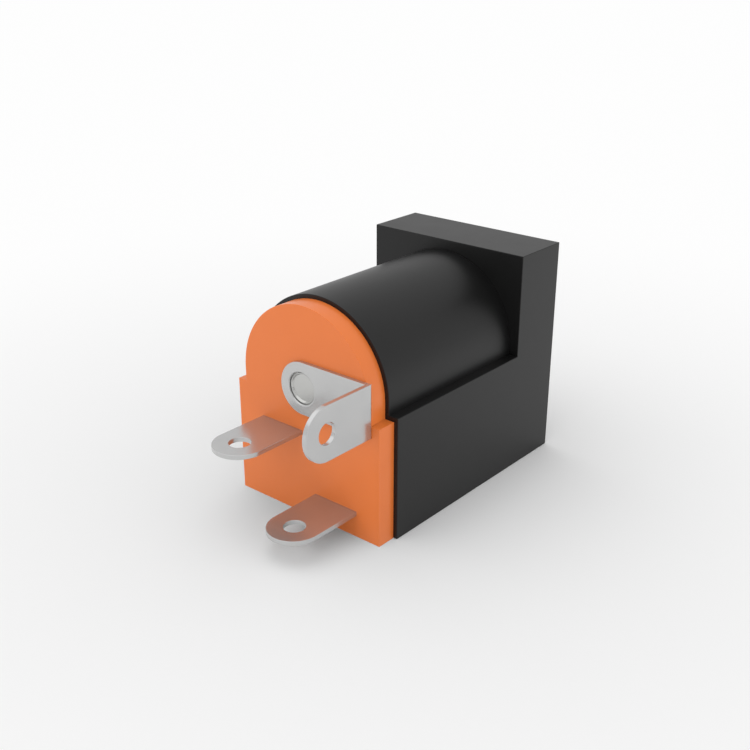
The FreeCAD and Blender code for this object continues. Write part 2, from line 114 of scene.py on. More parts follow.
# %% Place the camera
CAMERA_PLACE = (-0.029579, 0.034784, 0.025091)
CAMERA_YAW = 180 + 40.323
# An unturned camera looks straight down, so a pitch of 90 looks level and a smaller one looks down.
CAMERA_PITCH = 90 - 23.187
LENS = 50
SENSOR_WIDTH = 36
camera_data = bpy.data.cameras.new("studio_camera")
camera_data.lens = LENS
camera_data.sensor_width = SENSOR_WIDTH
camera_data.clip_start = 0.001
camera_data.clip_end = 20
camera = bpy.data.objects.new("studio_camera", camera_data)
camera.location = CAMERA_PLACE
camera.rotation_euler = (math.radians(CAMERA_PITCH), 0, math.radians(CAMERA_YAW))
bpy.context.scene.collection.objects.link(camera)
bpy.context.scene.camera = camera
print("camera to origin: %.1f mm" % (camera.location.length / MM))

# %% [markdown]
# ## Finishes
# Four finishes cover the jack. Both plastics are moulded: an even colour under a fine spark-eroded
# grain, with a gloss that wanders a little. The strips are brass under a thin satin coat of tin,
# drawn out by the rolling mill. The pin is turned and nickel plated. An image could be wrapped
# round each piece, but nodes that read the object's own coordinates need no unwrapping, stay put
# from every side and keep one scale on all pieces: clouds about a millimetre across, and a grain a
# fifth of that.


# %% A new finish and its pattern
def new_finish(name):
    """A material whose node tree holds only a shader and an output."""
    material = bpy.data.materials.new(name)
    material.use_nodes = True
    tree = material.node_tree
    tree.nodes.clear()
    output = tree.nodes.new("ShaderNodeOutputMaterial")
    shader = tree.nodes.new("ShaderNodeBsdfPrincipled")
    tree.links.new(shader.outputs["BSDF"], output.inputs["Surface"])
    return material, tree, shader


def object_pattern(tree, cells_per_mm, stretch=(1, 1, 1), detail=2.0):
    """Noise on the object's own coordinates, with its scale in cells to the millimetre."""
    place = tree.nodes.new("ShaderNodeTexCoord")
    mapping = tree.nodes.new("ShaderNodeMapping")
    mapping.inputs["Scale"].default_value = stretch
    noise = tree.nodes.new("ShaderNodeTexNoise")
    noise.inputs["Scale"].default_value = cells_per_mm / MM
    noise.inputs["Detail"].default_value = detail
    tree.links.new(place.outputs["Object"], mapping.inputs["Vector"])
    tree.links.new(mapping.outputs["Vector"], noise.inputs["Vector"])
    return noise.outputs["Fac"]


print("one cell to the millimetre is a noise scale of %.0f" % (1 / MM))

# %% Tones, gloss and relief
# Nearly all of the noise lies between these two levels.
NOISE_LOW = 0.3
NOISE_HIGH = 0.7


def spread(tree, factor, low, high):
    """A noise factor spread over a range of numbers."""
    node = tree.nodes.new("ShaderNodeMapRange")
    node.inputs["From Min"].default_value = NOISE_LOW
    node.inputs["From Max"].default_value = NOISE_HIGH
    node.inputs["To Min"].default_value = low
    node.inputs["To Max"].default_value = high
    tree.links.new(factor, node.inputs["Value"])
    return node.outputs["Result"]


def between(tree, factor, one, two):
    """A colour between two, by a noise factor."""
    node = tree.nodes.new("ShaderNodeMix")
    node.data_type = "RGBA"
    node.inputs["A"].default_value = (*one, 1)
    node.inputs["B"].default_value = (*two, 1)
    tree.links.new(spread(tree, factor, 0, 1), node.inputs["Factor"])
    return node.outputs["Result"]


def raise_surface(tree, shader, factor, depth_mm):
    """Turn a pattern into a fine relief of the given depth."""
    bump = tree.nodes.new("ShaderNodeBump")
    bump.inputs["Distance"].default_value = depth_mm * MM
    tree.links.new(factor, bump.inputs["Height"])
    tree.links.new(bump.outputs["Normal"], shader.inputs["Normal"])


print("noise from %.1f to %.1f is spread over each range" % (NOISE_LOW, NOISE_HIGH))

# %% The two plastics
CLOUDS_PER_MM = 0.9
GRAINS_PER_MM = 5
GRAIN_DEPTH = 0.0002
PLASTIC_IOR = 1.5


def moulded_plastic(name, shade, light, gloss, shine):
    """Satin moulded plastic: two near shades, a wandering gloss and a fine eroded grain."""
    material, tree, shader = new_finish(name)
    cloud = object_pattern(tree, CLOUDS_PER_MM, detail=3.0)
    grain = object_pattern(tree, GRAINS_PER_MM, detail=1.0)
    tree.links.new(between(tree, cloud, shade, light), shader.inputs["Base Color"])
    tree.links.new(spread(tree, cloud, *gloss), shader.inputs["Roughness"])
    shader.inputs["IOR"].default_value = PLASTIC_IOR
    shader.inputs["Specular IOR Level"].default_value = shine
    raise_surface(tree, shader, grain, GRAIN_DEPTH)
    return material


black_plastic = moulded_plastic(
    "black_plastic", shade=(0.0062, 0.0062, 0.0062), light=(0.0070, 0.0070, 0.0070),
    gloss=(0.37, 0.39), shine=0.35)
orange_plastic = moulded_plastic(
    "orange_plastic", shade=(0.865, 0.206, 0.039), light=(0.88, 0.212, 0.041),
    gloss=(0.29, 0.31), shine=0.46)
for finish in (black_plastic, orange_plastic):
    print(finish.name, "has", len(finish.node_tree.nodes), "nodes")

# %% The two platings
TONES_PER_MM = 0.8
MARKS_PER_MM = 5
MARK_DEPTH = 0.0001
PLATED_GLOSS = (0.22, 0.25)
METAL_SHARE = 0.82
# The mill draws its marks out along the strip, which runs along Y.
MILL_MARKS = (1, 0.15, 1)
EVEN_MARKS = (1, 1, 1)


def plated_metal(name, shade, light, stretch):
    """Satin plating: its tone wanders slowly, and its gloss and relief follow fine tool marks."""
    material, tree, shader = new_finish(name)
    marks = object_pattern(tree, MARKS_PER_MM, stretch=stretch, detail=3.0)
    cloud = object_pattern(tree, TONES_PER_MM)
    tree.links.new(between(tree, cloud, shade, light), shader.inputs["Base Color"])
    tree.links.new(spread(tree, marks, *PLATED_GLOSS), shader.inputs["Roughness"])
    shader.inputs["Metallic"].default_value = METAL_SHARE
    raise_surface(tree, shader, marks, MARK_DEPTH)
    return material


tinned_strip = plated_metal(
    "tinned_strip", shade=(0.55, 0.55, 0.55), light=(0.58, 0.58, 0.577), stretch=MILL_MARKS)
nickel_pin = plated_metal(
    "nickel_pin", shade=(0.54, 0.54, 0.525), light=(0.57, 0.57, 0.557), stretch=EVEN_MARKS)
for finish in (tinned_strip, nickel_pin):
    print(finish.name, "has", len(finish.node_tree.nodes), "nodes")

# %% [markdown]
# ## Workshop helpers
# Flat parts are drawn as outlines and given their thickness with rounded edges: the outline is
# moved inwards in small steps as it nears each face, which is the roll-over that a punch or a mould
# leaves. This is surer than a bevel on a face with holes, and it keeps every edge the same.


# %% Outlines
def arc(centre, radius, start, end, steps):
    """Points on an arc between two angles in degrees, both ends included."""
    turns = [math.radians(start + (end - start) * step / steps) for step in range(steps + 1)]
    return [Vector(centre) + Vector((math.cos(turn), math.sin(turn))) * radius for turn in turns]


def circle(centre, radius, steps):
    """A closed round outline."""
    return arc(centre, radius, 0, 360, steps)[:-1]


def rectangle(left, right, low, high):
    """A closed outline between two widths and two heights."""
    return [Vector(corner) for corner in ((left, low), (right, low), (right, high), (left, high))]


def inset(loop, distance):
    """A closed outline moved inwards, or outwards for a negative distance."""
    moved = []
    for before, here, after in zip(loop[-1:] + loop[:-1], loop, loop[1:] + loop[:1]):
        arriving = (here - before).normalized().orthogonal()
        leaving = (after - here).normalized().orthogonal()
        moved.append(here + (arriving + leaving) * distance / (1 + arriving.dot(leaving)))
    return moved


print("a square of 2 mm moved in by 0.1:", inset(rectangle(-1, 1, -1, 1), 0.1)[0])

# %% Plates with rounded edges
ROUND_STEPS = 3


def plate(outline, holes, low, high, radius):
    """A plate between two heights with rounded edges. A hole is an outline and its own rounding."""
    made = bmesh.new()
    turns = [math.pi / 2 * step / ROUND_STEPS for step in range(ROUND_STEPS + 1)]
    rims = ([], [])
    for loop, side, edge in [(outline, 1, radius)] + [(hole, -1, ease) for hole, ease in holes]:
        levels = [(low, 0)]
        if edge > 0:
            levels = [
                (low + edge * (1 - math.cos(turn)), edge * (1 - math.sin(turn))) for turn in turns]
        levels += [(high - (height - low), depth) for height, depth in reversed(levels)]
        rings = []
        for height, depth in levels:
            rings.append([made.verts.new((*point, height)) for point in inset(loop, side * depth)])
        for lower, upper in zip(rings, rings[1:]):
            for k in range(len(loop)):
                made.faces.new((lower[k - 1], lower[k], upper[k], upper[k - 1]))
        for rim, ring in zip(rims, (rings[0], rings[-1])):
            rim.extend(made.edges.get((ring[k - 1], ring[k])) for k in range(len(loop)))
    for rim in rims:
        bmesh.ops.triangle_fill(
            made, use_beauty=True, use_dissolve=False, edges=rim, normal=(0, 0, 1))
    return made


sample = plate(rectangle(-1, 1, -1, 1), [], 0, 0.5, 0.1)
print("a square plate with rounded edges has", len(sample.faces), "faces")
sample.free()

# %% Turned pieces
TURN_STEPS = 96


def turned(profile, steps=TURN_STEPS):
    """A turned piece: each point (distance along Y, radius) of the profile becomes a ring."""
    made = bmesh.new()
    rings = []
    for along, radius in profile:
        # On the axis a ring shrinks to one point, and the faces that meet there to triangles.
        count = steps if radius > 0 else 1
        angles = [2 * math.pi * k / count for k in range(count)]
        rings.append([
            made.verts.new((radius * math.cos(a), along, radius * math.sin(a))) for a in angles])
    for one, two in zip(rings, rings[1:]):
        for k in range(steps):
            corners = [one[(k - 1) % len(one)], one[k % len(one)],
                       two[k % len(two)], two[(k - 1) % len(two)]]
            made.faces.new(list(dict.fromkeys(corners)))
    return made


sample = turned([(0, 0), (0, 1), (1, 0)])
print("a turned cone has", len(sample.faces), "faces")
sample.free()


# %% Meshes, cutting and joining
def as_mesh(name, made, place=Matrix.Identity(4)):
    """A bmesh as a mesh, put in its place and with its faces turned outwards."""
    bmesh.ops.transform(made, matrix=place, verts=made.verts)
    bmesh.ops.recalc_face_normals(made, faces=made.faces)
    mesh = bpy.data.meshes.new(name)
    made.to_mesh(mesh)
    made.free()
    return mesh


def bench_object(name, mesh):
    """A mesh on the bench, for a modifier to work on."""
    thing = bpy.data.objects.new(name, mesh)
    bpy.context.scene.collection.objects.link(thing)
    return thing


def evaluated(thing):
    """The plain mesh that an object's modifiers make. The object itself is taken away."""
    bpy.context.view_layer.update()
    graph = bpy.context.evaluated_depsgraph_get()
    mesh = bpy.data.meshes.new_from_object(thing.evaluated_get(graph), depsgraph=graph)
    bpy.data.objects.remove(thing)
    return mesh


def combine(operation, base, tool):
    """One mesh less another, or with it."""
    work = bench_object("work", base)
    cutter = bench_object("cutter", tool)
    step = work.modifiers.new("combine", "BOOLEAN")
    step.operation = operation
    step.solver = "EXACT"
    step.object = cutter
    mesh = evaluated(work)
    bpy.data.objects.remove(cutter)
    return mesh


# %% Finishing a piece
SMOOTH_UP_TO = math.radians(32)


def finish_piece(name, mesh, material):
    """Shade a mesh smoothly but for its flat faces, scale it to metres and put it on the jack."""
    mesh.shade_smooth()
    mesh.set_sharp_from_angle(angle=SMOOTH_UP_TO)
    work = bench_object("work", mesh)
    weigh = work.modifiers.new("weigh", "WEIGHTED_NORMAL")
    weigh.keep_sharp = True
    mesh = evaluated(work)
    mesh.transform(Matrix.Scale(MM, 4))
    mesh.materials.clear()
    mesh.materials.append(material)
    piece = bench_object(name, mesh)
    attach(piece, "root")
    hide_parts(name)
    piece.name = name + "_dressed"
    mesh.name = piece.name
    size = [round(length / MM, 2) for length in piece.dimensions]
    print("%s: %d faces, %s mm" % (piece.name, len(mesh.polygons), size))
    return piece


print("edges up to %.0f degrees are shaded smooth" % math.degrees(SMOOTH_UP_TO))

# %% [markdown]
# ## Housing
# The housing is one moulding. From behind it is a box with a barrel over it, and the flange stands
# in front of both. A modeller could join three solids, but then the edges between them need
# mending. Here the outside is drawn as one skin whose faces are the real ones, its outer edges are
# rounded together, and the bore, the channel for the spring leaf and the rear pocket are cut out of
# it afterwards.

# %% Sizes of the housing
housing_low, housing_high = measured("housing")
HALF_WIDTH = housing_high.x
FRONT = housing_low.y
REAR = housing_high.y
FLANGE_HEIGHT = housing_high.z
FLANGE_DEPTH = 3.25
FLANGE_BACK = FRONT + FLANGE_DEPTH
FLANGE_PAST_SIDE = 0.5
FLANGE_PAST_TOP = 0.52
BOX_HEIGHT = 5.95
BARREL_RADIUS = HALF_WIDTH - FLANGE_PAST_SIDE
AXIS_UP = FLANGE_HEIGHT - FLANGE_PAST_TOP - BARREL_RADIUS
AXIS = Matrix.Translation((0, 0, AXIS_UP))
ARCH_STEPS = 100
MOULD_ROUND = 0.03
BEVEL_STEPS = 4
print("plug axis %.2f mm up, barrel radius %.2f mm" % (AXIS_UP, BARREL_RADIUS))


# %% The outer skin
def housing_skin():
    """The outside of the housing with its moulded edges rounded."""
    made = bmesh.new()
    over = [(HALF_WIDTH, BOX_HEIGHT), (BARREL_RADIUS, BOX_HEIGHT)]
    over += arc((0, AXIS_UP), BARREL_RADIUS, 0, 180, ARCH_STEPS)
    over += [(-BARREL_RADIUS, BOX_HEIGHT), (-HALF_WIDTH, BOX_HEIGHT)]
    foot = [(-HALF_WIDTH, 0), (HALF_WIDTH, 0)]
    top = [(HALF_WIDTH, FLANGE_HEIGHT), (-HALF_WIDTH, FLANGE_HEIGHT)]
    rear = [made.verts.new((x, REAR, z)) for x, z in foot + over]
    middle = [made.verts.new((x, FLANGE_BACK, z)) for x, z in over]
    crown = [made.verts.new((x, FLANGE_BACK, z)) for x, z in top]
    front = [made.verts.new((x, FRONT, z)) for x, z in foot + top]
    made.faces.new(rear)
    made.faces.new(front)
    made.faces.new((front[0], front[1], rear[1], rear[0]))
    made.faces.new((front[2], front[3], crown[1], crown[0]))
    made.faces.new((front[1], front[2], crown[0], middle[0], rear[2], rear[1]))
    made.faces.new((front[3], front[0], rear[0], rear[-1], middle[-1], crown[1]))
    made.faces.new((*middle, crown[1], crown[0]))
    for k in range(len(over) - 1):
        made.faces.new((middle[k], middle[k + 1], rear[k + 3], rear[k + 2]))
    bmesh.ops.recalc_face_normals(made, faces=made.faces)
    outer = [edge for edge in made.edges if edge.calc_face_angle_signed() > SMOOTH_UP_TO]
    bmesh.ops.bevel(
        made, geom=outer, offset=MOULD_ROUND, offset_type="OFFSET", segments=BEVEL_STEPS,
        profile=0.5, affect="EDGES", clamp_overlap=True)
    return as_mesh("housing", made)


housing_mesh = housing_skin()
print("the outer skin has", len(housing_mesh.polygons), "faces")

# %% What is cut out of it
contact_low, contact_high = measured("switch_contact")
spring_low, spring_high = measured("sleeve_spring")
BORE_RADIUS = 3.2
BORE_STEPS = 128
MOUTH_CHAMFER = 0.4
FOOT_ROOM = 0.1
FOOT_HEADROOM = 0.05
LEAF_ROOM = 0.15
CHANNEL_START = 2.2
CUTTER_ROUND = 0.02
CUT_PAST = 1.0


def housing_cutters():
    """The bore with its lead-in, the rear pocket for the feet and the channel for the leaf."""
    bore = turned([
        (FRONT - CUT_PAST, 0),
        (FRONT - CUT_PAST, BORE_RADIUS + MOUTH_CHAMFER + CUT_PAST),
        (FRONT + MOUTH_CHAMFER, BORE_RADIUS),
        (REAR + CUT_PAST, BORE_RADIUS),
        (REAR + CUT_PAST, 0),
    ], BORE_STEPS)
    foot_side = -spring_low.x + FOOT_ROOM
    pocket = plate(
        rectangle(-foot_side, foot_side, contact_low.y - FOOT_ROOM, REAR + CUT_PAST), [],
        spring_low.z, contact_high.z + FOOT_HEADROOM, CUTTER_ROUND)
    leaf_side = spring_high.x + LEAF_ROOM
    channel = plate(
        rectangle(-leaf_side, leaf_side, FRONT + CHANNEL_START, REAR + CUT_PAST), [],
        spring_low.z, AXIS_UP, CUTTER_ROUND)
    return [as_mesh("bore", bore, AXIS), as_mesh("pocket", pocket), as_mesh("channel", channel)]


for cutter_mesh in housing_cutters():
    housing_mesh = combine("DIFFERENCE", housing_mesh, cutter_mesh)
finish_piece("housing", housing_mesh, black_plastic)

# %% [markdown]
# ## Terminal plate
# The orange plate is a second moulding, pressed into the back of the bore by its spigot. Its
# outline is an arch with two shoulders, a rim's width inside the housing. The two slots let the
# lugs through. One outline can't hold both steps, so board and spigot are two plates, joined and
# then drilled for the pin. In the retouched photo the white floor takes no orange from the plate,
# so the plate is kept out of the light that spreads from surface to surface. It is lit, seen and
# mirrored, and throws its shadow.

# %% Sizes of the terminal plate
plate_low, plate_high = measured("terminal_plate")
PLATE_BACK = plate_high.y
PLATE_SIDE = plate_high.x
PLATE_ROUND = 0.02
RIM = 0.2
SHOULDER_UP = BOX_HEIGHT - RIM
ARCH_RADIUS = BARREL_RADIUS - RIM
SPIGOT_ROOM = 0.03
SPIGOT_HEADROOM = 0.05
SPIGOT_OVERLAP = 0.5
PIN_HOLE = 0.72
DRILL_STEPS = 64
STRIP = 0.22
LUG_HALF = 1.25
SLOT_ROOM = 0.004
SLEEVE_LUG_X = spring_low.x + LUG_HALF
SLEEVE_UP = spring_low.z
SWITCH_LUG_X = contact_high.x - LUG_HALF
SWITCH_UP = contact_low.z
# An outline is drawn flat. This stands it up across the axis: its Y becomes the jack's Z.
STAND_ACROSS = Matrix(((1, 0, 0, 0), (0, 0, 1, 0), (0, 1, 0, 0), (0, 0, 0, 1)))
print("the slots are centred at X %.2f and %.2f mm" % (SLEEVE_LUG_X, SWITCH_LUG_X))


# %% Make the terminal plate
def board_outline():
    """The arch with its two shoulders."""
    outline = [Vector(corner) for corner in (
        (-PLATE_SIDE, 0), (PLATE_SIDE, 0), (PLATE_SIDE, SHOULDER_UP), (ARCH_RADIUS, SHOULDER_UP))]
    outline += arc((0, AXIS_UP), ARCH_RADIUS, 0, 180, ARCH_STEPS)
    outline += [Vector((-ARCH_RADIUS, SHOULDER_UP)), Vector((-PLATE_SIDE, SHOULDER_UP))]
    return outline


def slot_outline(middle, underside):
    """The slot for a lug, with a little room all round."""
    reach = LUG_HALF + SLOT_ROOM
    return rectangle(
        middle - reach, middle + reach, underside - SLOT_ROOM, underside + STRIP + SLOT_ROOM)


def spigot_outline():
    """A disc that fits the bore, with a flat that stays clear of the switch contact."""
    radius = BORE_RADIUS - SPIGOT_ROOM
    flat = SWITCH_UP + STRIP + SPIGOT_HEADROOM
    lean = math.degrees(math.asin((flat - AXIS_UP) / radius))
    return arc((0, AXIS_UP), radius, lean, 180 - lean, ARCH_STEPS)


def terminal_plate_mesh():
    """The board with its slots and the spigot on its inner side, drilled for the pin."""
    slots = [(slot_outline(SLEEVE_LUG_X, SLEEVE_UP), 0), (slot_outline(SWITCH_LUG_X, SWITCH_UP), 0)]
    board = plate(board_outline(), slots, REAR, PLATE_BACK, PLATE_ROUND)
    spigot = plate(spigot_outline(), [], plate_low.y, REAR + SPIGOT_OVERLAP, PLATE_ROUND)
    drill = turned([
        (plate_low.y - CUT_PAST, 0),
        (plate_low.y - CUT_PAST, PIN_HOLE),
        (PLATE_BACK + CUT_PAST, PIN_HOLE),
        (PLATE_BACK + CUT_PAST, 0),
    ], DRILL_STEPS)
    joined = combine(
        "UNION", as_mesh("board", board, STAND_ACROSS), as_mesh("spigot", spigot, STAND_ACROSS))
    return combine("DIFFERENCE", joined, as_mesh("drill", drill, AXIS))


terminal_plate = finish_piece(
    "terminal_plate", terminal_plate_mesh(), orange_plastic)
terminal_plate.visible_diffuse = False

# %% [markdown]
# ## Centre pin
# The pin is turned from bar, so one profile swept round the axis makes it: a rounded tip, a
# shoulder that seats on the spigot and a shank that goes through the plate. The end is riveted over
# in the hole of its lug: a narrow lip stands in the hole, with a fine groove round it and a shallow
# cup within. Discs laid on each other could show the same rings, but one profile keeps the pin a
# single closed piece.

# %% Sizes of the pin and its rivet
pin_low, pin_high = measured("centre_pin")
PIN_RADIUS = 1.0
TIP_ROUND = 0.5
SHOULDER_RADIUS = pin_high.x
SHOULDER_LENGTH = 1.0
SHOULDER_BACK = plate_low.y
SHOULDER_FRONT = SHOULDER_BACK - SHOULDER_LENGTH
EASE = 0.04
SHANK_RADIUS = 0.7
RIVET_HOLE = 0.76
RIVET_EASE = 0.07
# The rivet stops a hair short of its hole, so that no two faces lie in one place.
HAIR = 0.001
RIVET_RADIUS = RIVET_HOLE - HAIR
GROOVE_LIFT = 0.06
GROOVE_FLOOR = PLATE_BACK + GROOVE_LIFT
LIP_OUTSIDE = 0.73
LIP_CREST = 0.70
LIP_ROUND = LIP_OUTSIDE - LIP_CREST
LIP_LOWERED = 0.03
RIVET_END = pin_high.y - LIP_LOWERED
CUP_RADIUS = 0.62
CUP_DEPTH = 0.08
print("the pin is %.2f mm long" % (RIVET_END - pin_low.y))

# %% Make the centre pin
pin_profile = [(pin_low.y, 0)]
pin_profile += arc((pin_low.y + TIP_ROUND, PIN_RADIUS - TIP_ROUND), TIP_ROUND, 180, 90, 12)
pin_profile += [
    (SHOULDER_FRONT, PIN_RADIUS),
    (SHOULDER_FRONT, SHOULDER_RADIUS - EASE),
    (SHOULDER_FRONT + EASE, SHOULDER_RADIUS),
    (SHOULDER_BACK - EASE, SHOULDER_RADIUS),
    (SHOULDER_BACK, SHOULDER_RADIUS - EASE),
    (SHOULDER_BACK, SHANK_RADIUS),
    (PLATE_BACK, SHANK_RADIUS),
    (PLATE_BACK, RIVET_RADIUS),
    (GROOVE_FLOOR, RIVET_RADIUS),
    (GROOVE_FLOOR, LIP_OUTSIDE),
]
pin_profile += arc((RIVET_END - LIP_ROUND, LIP_CREST), LIP_ROUND, 90, -45, 8)
pin_profile += [(RIVET_END - CUP_DEPTH, CUP_RADIUS), (RIVET_END - CUP_DEPTH, 0)]
pin_mesh = as_mesh("centre_pin", turned(pin_profile), AXIS)
finish_piece("centre_pin", pin_mesh, nickel_pin)

# %% [markdown]
# ## Folding the strips
# Each contact starts as a flat blank, punched with its round tip and wire hole, and is then folded
# in a press. Here too: the blank is a plate with rolled edges, drawn with its length along Y, and a
# Geometry Nodes tree lays it along a path, as a tool would. The tree samples the path at each
# point's distance along the blank and stands the thickness off square to it. A point of the path
# may carry a stretch in its radius, which makes a sharp fold come out as a mitre. Bending the
# points in Python would do the same, but the tree shows the fold as one tool that serves all three
# strips.


# %% The folding tree
def folding_tree():
    """Geometry Nodes: lay a flat blank along a path, then give it its finish."""
    tree = bpy.data.node_groups.new("fold_along_path", "GeometryNodeTree")
    for socket, kind in (("Blank", "Geometry"), ("Path", "Object"), ("Finish", "Material")):
        tree.interface.new_socket(socket, in_out="INPUT", socket_type="NodeSocket" + kind)
    tree.interface.new_socket("Folded", in_out="OUTPUT", socket_type="NodeSocketGeometry")
    node = tree.nodes.new
    link = tree.links.new
    given = node("NodeGroupInput")
    result = node("NodeGroupOutput")
    path = node("GeometryNodeObjectInfo")
    link(given.outputs["Path"], path.inputs["Object"])
    place = node("GeometryNodeInputPosition")
    parts = node("ShaderNodeSeparateXYZ")
    link(place.outputs["Position"], parts.inputs["Vector"])
    sample = node("GeometryNodeSampleCurve")
    sample.mode = "LENGTH"
    link(path.outputs["Geometry"], sample.inputs["Curves"])
    link(parts.outputs["Y"], sample.inputs["Length"])
    stretch = node("GeometryNodeInputRadius")
    link(stretch.outputs["Radius"], sample.inputs["Value"])
    across = node("ShaderNodeCombineXYZ")
    link(parts.outputs["X"], across.inputs["X"])
    square = node("ShaderNodeVectorMath")
    square.operation = "CROSS_PRODUCT"
    square.inputs[1].default_value = (1, 0, 0)
    link(sample.outputs["Tangent"], square.inputs[0])
    depth = node("ShaderNodeMath")
    depth.operation = "MULTIPLY"
    link(parts.outputs["Z"], depth.inputs[0])
    link(sample.outputs["Value"], depth.inputs[1])
    stand_off = node("ShaderNodeVectorMath")
    stand_off.operation = "SCALE"
    link(square.outputs["Vector"], stand_off.inputs[0])
    link(depth.outputs["Value"], stand_off.inputs["Scale"])
    sideways = node("ShaderNodeVectorMath")
    sideways.operation = "ADD"
    link(across.outputs["Vector"], sideways.inputs[0])
    link(stand_off.outputs["Vector"], sideways.inputs[1])
    total = node("ShaderNodeVectorMath")
    total.operation = "ADD"
    link(sideways.outputs["Vector"], total.inputs[0])
    link(sample.outputs["Position"], total.inputs[1])
    move = node("GeometryNodeSetPosition")
    link(given.outputs["Blank"], move.inputs["Geometry"])
    link(total.outputs["Vector"], move.inputs["Position"])
    real = node("GeometryNodeRealizeInstances")
    link(move.outputs["Geometry"], real.inputs["Geometry"])
    dress = node("GeometryNodeSetMaterial")
    link(real.outputs["Geometry"], dress.inputs["Geometry"])
    link(given.outputs["Finish"], dress.inputs["Material"])
    link(dress.outputs["Geometry"], result.inputs["Folded"])
    return tree


FOLDING = folding_tree()
print("folding tree:", len(FOLDING.nodes), "nodes")


# %% Paths
def path_object(points, stretches):
    """A path of straight steps in the YZ plane, with a stretch for each point."""
    data = bpy.data.curves.new("path", "CURVE")
    data.dimensions = "3D"
    spline = data.splines.new("POLY")
    spline.points.add(len(points) - 1)
    for k, (along, up) in enumerate(points):
        spline.points[k].co = (0, along, up, 1)
        spline.points[k].radius = stretches[k] if stretches else 1
    return bench_object("path", data)


def distances(points):
    """How far along the path each of its points lies."""
    far = [0.0]
    for one, two in zip(points, points[1:]):
        far.append(far[-1] + (Vector(two) - Vector(one)).length)
    return far


print("distances along a path of 3 and 4 mm:", distances([(0, 0), (3, 0), (3, 4)]))

# %% Blanks
ROLL = 0.02
TIP_STEPS = 32
WIRE_HOLE = 0.5
WIRE_HOLE_STEPS = 48


def lug_tip(middle):
    """The round end of a lug, drawn from its left side to its right side with the tip at Y = 0."""
    return arc((middle, LUG_HALF), LUG_HALF, 180, 360, TIP_STEPS)


def wire_hole(middle):
    """The hole for the wire, round the same centre as the tip, and its rolled edge."""
    return circle((middle, LUG_HALF), WIRE_HOLE, WIRE_HOLE_STEPS), ROLL


def folded(outline, holes, points, stretches=None, place=Matrix.Identity(4)):
    """Punch a blank, part it at the path's points, fold it along the path and put it in place."""
    blank = plate(outline, holes, -STRIP / 2, STRIP / 2, ROLL)
    for far in distances(points)[1:-1]:
        everything = blank.verts[:] + blank.edges[:] + blank.faces[:]
        bmesh.ops.bisect_plane(
            blank, geom=everything, dist=1e-5, plane_co=(0, far, 0), plane_no=(0, 1, 0))
    work = bench_object("blank", as_mesh("blank", blank))
    path = path_object(points, stretches)
    fold = work.modifiers.new("fold", "NODES")
    fold.node_group = FOLDING
    for item in FOLDING.interface.items_tree:
        if item.name == "Path":
            fold[item.identifier] = path
        if item.name == "Finish":
            fold[item.identifier] = tinned_strip
    mesh = evaluated(work)
    bpy.data.objects.remove(path)
    shaped = bmesh.new()
    shaped.from_mesh(mesh)
    return as_mesh("folded", shaped, place)


print("a lug is %.1f mm wide with a hole of %.1f mm" % (2 * LUG_HALF, 2 * WIRE_HOLE))

# %% [markdown]
# ## Switch contact
# The switch contact is the plain one: its lug goes straight back through the plate, and its foot,
# wider than the slot, lies inside the plate over the free end of the spring leaf. It has no fold,
# so the blank alone would do, but a straight path takes it to its place with the same tool as the
# others.

# %% Make the switch contact
LUG_END = contact_high.y
LEAF_HALF = spring_high.x
foot_at = LUG_END - REAR
switch_foot = LUG_END - contact_low.y
switch_outline = lug_tip(SWITCH_LUG_X) + [Vector(corner) for corner in (
    (SWITCH_LUG_X + LUG_HALF, switch_foot), (-LEAF_HALF, switch_foot), (-LEAF_HALF, foot_at),
    (SWITCH_LUG_X - LUG_HALF, foot_at))]
switch_level = SWITCH_UP + STRIP / 2
switch_line = [(LUG_END, switch_level), (LUG_END - switch_foot, switch_level)]
switch_mesh = folded(switch_outline, [wire_hole(SWITCH_LUG_X)], switch_line)
finish_piece("switch_contact", switch_mesh, tinned_strip)

# %% [markdown]
# ## Sleeve spring
# The sleeve spring is the piece that needs the most care. Inside the plate its strip steps to the
# middle and runs forward on the floor of its channel. It folds back over itself, climbs to a crest
# in the path of the plug and ends level under the switch contact. Points set by eye would leave
# kinks. The path is three arcs joined by the straight lines that touch them, so only the arcs'
# centres and radii are given and the slopes follow from them.

# %% The path of the leaf
BEND, CREST, TAIL = 0.4, 0.9, 0.6
LEAF_SHORT_OF_REAR = 1.15
TAIL_LENGTH = 2.0
CREST_TO_TAIL = 1.4
CREST_PAST_CONTACT = 0.31


def touching_heading(one, two, offset):
    """The heading of the line that touches two circles, from how far their centres lie off it."""
    line = two - one
    return math.atan2(line.y, line.x) - math.asin(offset / line.length)


sleeve_level = SLEEVE_UP + STRIP / 2
tail_level = SWITCH_UP - STRIP / 2
leaf_end = REAR - LEAF_SHORT_OF_REAR
bend_centre = Vector((spring_low.y + STRIP / 2 + BEND, sleeve_level + BEND))
tail_centre = Vector((leaf_end - TAIL_LENGTH, tail_level + TAIL))
crest_up = SWITCH_UP + CREST_PAST_CONTACT - STRIP / 2 - CREST
crest_centre = Vector((tail_centre.x - CREST_TO_TAIL, crest_up))
rise = math.degrees(touching_heading(bend_centre, crest_centre, BEND - CREST))
fall = math.degrees(touching_heading(crest_centre, tail_centre, CREST + TAIL))
leaf_line = [Vector((LUG_END, sleeve_level))]
leaf_line += arc(bend_centre, BEND, 270, 90 + rise, 24)
leaf_line += arc(crest_centre, CREST, 90 + rise, 90 + fall, 10)
leaf_line += arc(tail_centre, TAIL, 270 + fall, 270, 4)
leaf_line += [Vector((leaf_end, tail_level))]
print("the leaf rises at %.1f degrees and falls at %.1f" % (rise, -fall))

